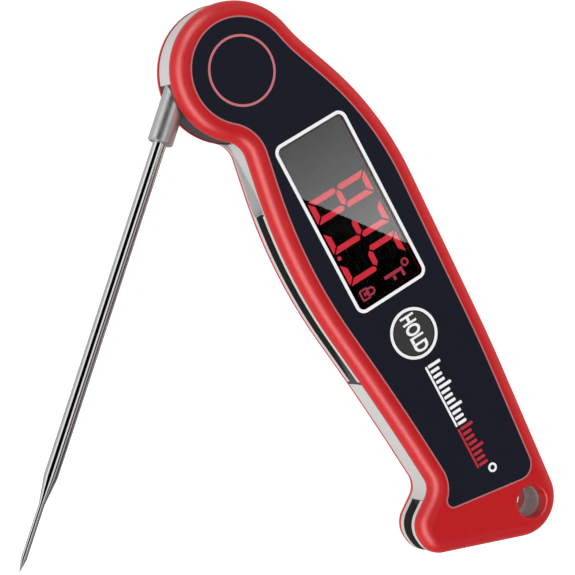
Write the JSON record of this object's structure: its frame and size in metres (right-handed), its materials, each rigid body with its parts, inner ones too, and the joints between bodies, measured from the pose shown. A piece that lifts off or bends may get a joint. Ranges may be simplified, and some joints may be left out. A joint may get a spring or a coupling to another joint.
{
  "type": "folding digital meat thermometer",
  "caption": "Handheld food thermometer: flat rounded body with a segment display, a hold button, a hang hole and a steel probe that folds out from a round hub.",
  "frame": {"origin": "on the back face, where the probe hub's axis meets it", "axes": "+X from the hub to the tail, +Y to the right of the display with the head up, +Z out of the display"},
  "size_m": [0.1614, 0.1375, 0.0161],
  "materials": {
    "red_plastic": "satin moulded",
    "black_inlay": "high gloss",
    "clear_window": "polished",
    "grey_plastic": "fine grained",
    "dark_plastic": "matte moulded",
    "button_rubber": "matte",
    "seal_rubber": "matte",
    "foam": "matte",
    "display_glass": "polished",
    "board_green": "solder mask",
    "component_black": "moulded",
    "switch_metal": "stamped",
    "stainless_polished": "polished",
    "stainless_satin": "satin turned",
    "zinc_screw": "plated",
    "spring_steel": "plated",
    "brass": "turned",
    "nylon": "low friction",
    "magnet_nickel": "nickel plated",
    "cell_label": "printed sleeve",
    "wire_insulation": "extruded",
    "epoxy": "cast"
  },
  "bodies": {
    "housing": {"back_magnets": "magnet_nickel", "battery": "cell_label", "battery_door": "red_plastic", "battery_door_screw": "zinc_screw", "battery_door_seal": "seal_rubber", "battery_lead": "wire_insulation", "battery_plate_contact": "spring_steel", "battery_spring_contact": "spring_steel", "battery_tray": "dark_plastic", "circuit_board": "board_green", "display_gasket": "foam", "display_lens": "clear_window", "display_module": "display_glass", "front_gasket": "seal_rubber", "front_panel": "black_inlay", "front_shell": "red_plastic", "housing_screws": "zinc_screw", "hub_seals": "seal_rubber", "hub_washers": "nylon", "lock_switch": "switch_metal", "lower_band": "grey_plastic", "main_chip": "component_black", "mid_frame": "grey_plastic", "pivot_axle": "brass", "pivot_nut": "brass", "rear_gasket": "seal_rubber", "rear_shell": "red_plastic", "screw_standoffs": "brass", "unit_switch": "component_black", "upper_band": "grey_plastic", "wire_harness": "wire_insulation"},
    "probe_arm": {"hub_base": "dark_plastic", "hub_cap": "dark_plastic", "hub_rim_cover": "grey_plastic", "hub_screws": "zinc_screw", "probe_collar": "stainless_satin", "probe_tube": "stainless_polished", "probe_tip": "stainless_polished", "thermistor_bead": "epoxy", "sensor_leads": "wire_insulation"},
    "lock_button": {"lock_button": "button_rubber"},
    "unit_button": {"unit_button": "button_rubber"}
  },
  "joints": [
    {"name": "probe_fold", "type": "hinge", "parent": "housing", "child": "probe_arm", "pos_m": [0, 0, 0.008], "axis": [0, 0, -1], "range_deg": [-49.1, 130.9]},
    {"name": "lock_button_press", "type": "slide", "parent": "housing", "child": "lock_button", "axis": [0, 0, -1], "range_m": [0, 0.0006], "stiffness_N_per_m": 2500, "springref_m": -0.0004},
    {"name": "unit_button_press", "type": "slide", "parent": "housing", "child": "unit_button", "axis": [0, 0, 1], "range_m": [0, 0.0005], "stiffness_N_per_m": 2500, "springref_m": -0.0004}
  ]
}
